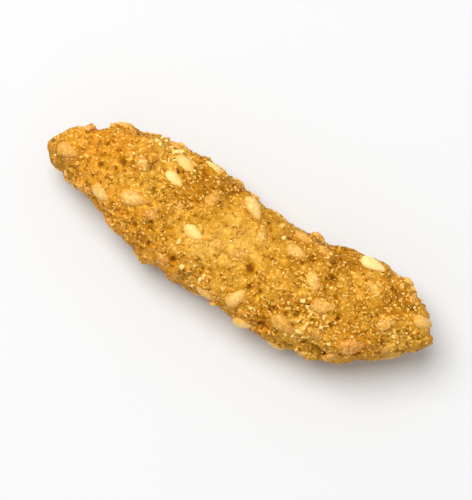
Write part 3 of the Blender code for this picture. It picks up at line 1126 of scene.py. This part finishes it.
def all_crumbs():
    draw = random.Random(CRUMB_DRAW)
    crumbs = []
    for _ in range(CRUMBS_SCATTERED):
        place = anywhere_on_crust(CRUMB_SPAN, draw)
        crumbs.append(crumb_on(place, draw, LARGE_SHARE, SCATTERED_TONE))
    for x, y, spread, count, brownest in CRUMB_CLUSTERS:
        tones = (brownest, brownest + CLUSTER_TONES)
        for _ in range(count):
            near_x = x + draw.gauss(0.0, 0.5 * spread)
            near_y = y + draw.gauss(0.0, 0.5 * spread)
            place = on_crust(near_x, turn_at(near_x, near_y))
            crumbs.append(crumb_on(place, draw, CLUSTER_LARGE_SHARE, tones))
    for seed in seeds:
        for _ in range(RIM_CRUMBS):
            crumbs.append(crumb_on(rim_place(seed, draw), draw, LARGE_SHARE, RIM_TONE))
    for seed in seeds:
        for _ in range(round(FILM_CRUMBS * max(0.0, seed["film"] - BARE_FILM))):
            crumbs.append(crumb_on(film_place(seed, draw), draw, 0.0, RIM_TONE))
    return [crumb for crumb in crumbs if crumb]


def crumb_finish():
    """The dough's own gold, paler and sandier, with no two crumbs quite alike."""
    brown = (0.62, 0.27, 0.020)
    gold = (0.88, 0.49, 0.075)
    pale = (1.0, 0.70, 0.24)
    # The lemon tone below is partly a painted highlight, for oily glints on pale crumbs.
    lemon_glint = (1.0, 0.81, 0.27)
    ruddy_and_shade = (0.98, 0.84, 0.68)
    inside = (1.0, 0.5, 0.15)
    finish = Finish("dough_crumb")
    tone = finish.sum(finish.mark("tone"), 0.7, finish.cloud(CRUMB_TINT_SIZE, detail=3.0), 0.3)
    colour = finish.ramp(tone, (0.12, brown), (0.5, gold), (0.83, pale), (0.95, lemon_glint))
    redder_and_shaded = finish.ramp(finish.mark("ruddy_and_shade"), (0.0, 0.0), (0.8, 1.0))
    finish.surface("Base Color", finish.mix(redder_and_shaded, colour, ruddy_and_shade, "MULTIPLY"))
    finish.sheen(CRUMB_DRY_SIZE, (0.35, 0.38), (0.7, 0.66))
    finish.soft_inside(0.15, inside, 0.4 * MM)
    finish.bump(finish.cloud(CRUMB_GRIT_SIZE, detail=4.0), 0.04 * MM)
    return finish.material


crumbs = many_as_one("dough_crumbs", all_crumbs())
crumbs.data.materials.append(crumb_finish())
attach(crumbs, "root")
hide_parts("sesame_stick")


# =======================================================================================
# SALT
# Small rounded cubes of salt, thrown on while the oil is still wet, so that each one
# stands caught in the crust and glints.
# =======================================================================================

SALT_SIZE = (0.15 * MM, 0.30 * MM)
# Shares of a grain's size: its width and thickness, how far its edges are worn, and how
# far its middle stands out of the crust.
SALT_SQUARENESS = (0.7, 1.0)
SALT_WORN = 0.16
SALT_LIFT = 0.15
SALT_ROUND = 0.6
SALT_GRAINS = 60
SALT_SPAN = 0.93 * STICK_LENGTH
# None falls lower than this, or where the crust faces further down.
SALT_LOWEST = 1.5 * MM
SALT_FACING = -0.4
SALT_DRAW = 4
SALT_CLOUD_SIZE = 0.2 * MM
SALT_WORN_SIZE = 0.15 * MM
SALT_IOR = 1.54


def salt_shape():
    """A unit cube with its edges worn round."""
    shape = bmesh.new()
    bmesh.ops.create_cube(shape, size=1.0)
    bmesh.ops.bevel(
        shape,
        geom=list(shape.edges),
        offset=SALT_WORN,
        segments=2,
        profile=SALT_ROUND,
        affect="EDGES",
    )
    return shape


def all_salt():
    draw = random.Random(SALT_DRAW)
    grains = []
    while len(grains) < SALT_GRAINS:
        place, direction = anywhere_on_crust(SALT_SPAN, draw)
        size = draw.uniform(*SALT_SIZE)
        stretch = uneven(size, SALT_SQUARENESS, SALT_SQUARENESS, draw)
        axis = any_direction(draw)
        tumbled = Matrix.Rotation(draw.uniform(0.0, math.pi), 4, axis)
        marks = {"tone": draw.random()}
        if place is None or place.z < SALT_LOWEST or direction.z < SALT_FACING:
            continue
        moved = Matrix.Translation(place + direction * SALT_LIFT * size)
        grains.append((salt_shape(), moved @ tumbled @ stretch, marks))
    return grains


def salt_finish():
    """Cloudy crystal, yellowed by the oil that holds it."""
    oily = (0.86, 0.55, 0.15)
    white = (0.95, 0.76, 0.34)
    inside = (1.0, 0.9, 0.7)
    finish = Finish("salt")
    cloudy = finish.cloud(SALT_CLOUD_SIZE, detail=2.0)
    tone = finish.sum(finish.mark("tone"), 0.6, cloudy, 0.4)
    finish.surface("Base Color", finish.mix(tone, oily, white))
    finish.sheen(SALT_WORN_SIZE, (0.3, 0.16), (0.7, 0.40), detail=2.0)
    finish.surface("IOR", SALT_IOR)
    finish.surface("Specular IOR Level", 0.3)
    finish.soft_inside(0.3, inside, 0.2 * MM)
    return finish.material


salt = many_as_one("salt_grains", all_salt())
salt.data.shade_smooth()
salt.data.materials.append(salt_finish())
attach(salt, "root")
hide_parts("sesame_stick")


# =======================================================================================
# BRAN
# Thin torn flakes of wheat bran from the flour, kneaded in with the rest of the dough.
# Those at its surface are fried brown and lie flat in the crust.
# =======================================================================================

BRAN_SIZE = (0.32 * MM, 0.80 * MM)
BRAN_SIDES = 9
# Shares of a flake's size: its torn outline, its width, its thickness and its cup.
BRAN_RAGGED = (0.6, 1.0)
BRAN_WIDTH = 0.6
BRAN_THICKNESS = 0.07
BRAN_CUP = 0.25
BRAN_LEAN = math.radians(12)
BRAN_FLAKES = 80
BRAN_SPAN = 0.94 * STICK_LENGTH
BRAN_LOWEST = 0.8 * MM
BRAN_DRAW = 15
BRAN_TINT_SIZE = 0.3 * MM
BRAN_DRY_SIZE = 0.2 * MM
BRAN_GRAIN_SIZE = 0.1 * MM


def bran_shape(draw):
    """A torn, slightly cupped flake of unit size with an uneven outline."""
    shape = bmesh.new()
    bmesh.ops.create_circle(
        shape, cap_ends=True, cap_tris=True, segments=BRAN_SIDES, radius=0.5
    )
    for vertex in shape.verts:
        reach = draw.uniform(*BRAN_RAGGED)
        vertex.co.x *= reach
        vertex.co.y *= BRAN_WIDTH * reach
        vertex.co.z = -BRAN_CUP * vertex.co.x**2
    made = bmesh.ops.extrude_face_region(shape, geom=list(shape.faces))
    raised = [part for part in made["geom"] if isinstance(part, bmesh.types.BMVert)]
    bmesh.ops.translate(shape, verts=raised, vec=(0.0, 0.0, BRAN_THICKNESS))
    bmesh.ops.recalc_face_normals(shape, faces=shape.faces)
    return shape


def all_bran():
    draw = random.Random(BRAN_DRAW)
    flakes = []
    while len(flakes) < BRAN_FLAKES:
        place, direction = anywhere_on_crust(BRAN_SPAN, draw)
        size = draw.uniform(*BRAN_SIZE)
        spin = spun(draw)
        lean = Matrix.Rotation(draw.uniform(-BRAN_LEAN, BRAN_LEAN), 4, "X")
        marks = {"tone": draw.random()}
        if place is None or place.z < BRAN_LOWEST:
            continue
        matrix = set_down(place, direction) @ spin @ lean @ Matrix.Scale(size, 4)
        flakes.append((bran_shape(draw), matrix, marks))
    return flakes


def bran_finish():
    """Foxy brown husk, almost burnt in places."""
    burnt = (0.20, 0.060, 0.004)
    fox = (0.46, 0.18, 0.014)
    finish = Finish("bran")
    tone = finish.sum(finish.mark("tone"), 0.7, finish.cloud(BRAN_TINT_SIZE, detail=3.0), 0.3)
    finish.surface("Base Color", finish.mix(tone, burnt, fox))
    finish.sheen(BRAN_DRY_SIZE, (0.3, 0.42), (0.7, 0.65), detail=2.0)
    finish.surface("Specular IOR Level", 0.15)
    finish.bump(finish.cloud(BRAN_GRAIN_SIZE, detail=2.0), 0.02 * MM)
    return finish.material


bran = many_as_one("bran_flakes", all_bran())
bran.data.materials.append(bran_finish())
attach(bran, "root")
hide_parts("sesame_stick")


# =======================================================================================
# FLOOR, LIGHT AND CAMERA
# A plain white sheet, a large soft light high on the left and a pale room that fills the
# shadows. The camera looks down steeply, and the stick runs away to the lower right.
# =======================================================================================

SHEET_SIZE = 3.0
SHEET_TINT_SIZE = 60.0 * MM
LIGHT_PLACE = (-0.26, 0.08, 0.70)
LIGHT_SIZE = 0.60
LIGHT_POWER = 5.6
LIGHT_COLOUR = (1.0, 0.985, 0.96)
ROOM_COLOUR = (1.0, 0.965, 0.91)
ROOM_STRENGTH = 0.55
VIEW_AZIMUTH = math.radians(31.5)
VIEW_ELEVATION = math.radians(78)
VIEW_DISTANCE = 0.236
VIEW_LENS = 150.0
VIEW_MIDDLE = Vector((0.0, 0.0, 4.0 * MM))
VIEW_NEAREST = 0.01


def white_sheet_finish():
    shade = (0.69, 0.71, 0.74)
    white = (0.71, 0.73, 0.76)
    finish = Finish("white_sheet")
    finish.surface("Base Color", finish.mix(finish.cloud(SHEET_TINT_SIZE), shade, white))
    finish.surface("Roughness", 0.7)
    finish.surface("Specular IOR Level", 0.2)
    return finish.material


def make_floor():
    mesh = bpy.data.meshes.new("white_sheet")
    half = 0.5 * SHEET_SIZE
    corners = [(-half, -half, 0.0), (half, -half, 0.0), (half, half, 0.0), (-half, half, 0.0)]
    mesh.from_pydata(corners, [], [(0, 1, 2, 3)])
    mesh.materials.append(white_sheet_finish())
    return put_in_scene("white_sheet", mesh)


def window_light():
    """A wide soft disk of light that faces the stick."""
    lamp = bpy.data.lights.new("window_light", "AREA")
    lamp.shape = "DISK"
    lamp.size = LIGHT_SIZE
    lamp.energy = LIGHT_POWER
    lamp.color = LIGHT_COLOUR
    light = put_in_scene("window_light", lamp)
    light.location = LIGHT_PLACE
    light.rotation_euler = (-Vector(LIGHT_PLACE)).to_track_quat("-Z", "Y").to_euler()


def pale_room():
    room = bpy.data.worlds.new("pale_room")
    room.use_nodes = True
    walls = room.node_tree.nodes["Background"]
    walls.inputs["Color"].default_value = (*ROOM_COLOUR, 1.0)
    walls.inputs["Strength"].default_value = ROOM_STRENGTH
    bpy.context.scene.world = room


def make_camera():
    away = Vector((
        math.sin(VIEW_AZIMUTH) * math.cos(VIEW_ELEVATION),
        -math.cos(VIEW_AZIMUTH) * math.cos(VIEW_ELEVATION),
        math.sin(VIEW_ELEVATION),
    ))
    lens = bpy.data.cameras.new("camera")
    lens.lens = VIEW_LENS
    lens.clip_start = VIEW_NEAREST
    camera = put_in_scene("camera", lens)
    camera.location = VIEW_MIDDLE + VIEW_DISTANCE * away
    camera.rotation_euler = away.to_track_quat("Z", "Y").to_euler()
    bpy.context.scene.camera = camera


make_floor()
window_light()
pale_room()
make_camera()
bpy.context.scene.view_settings.view_transform = "Standard"
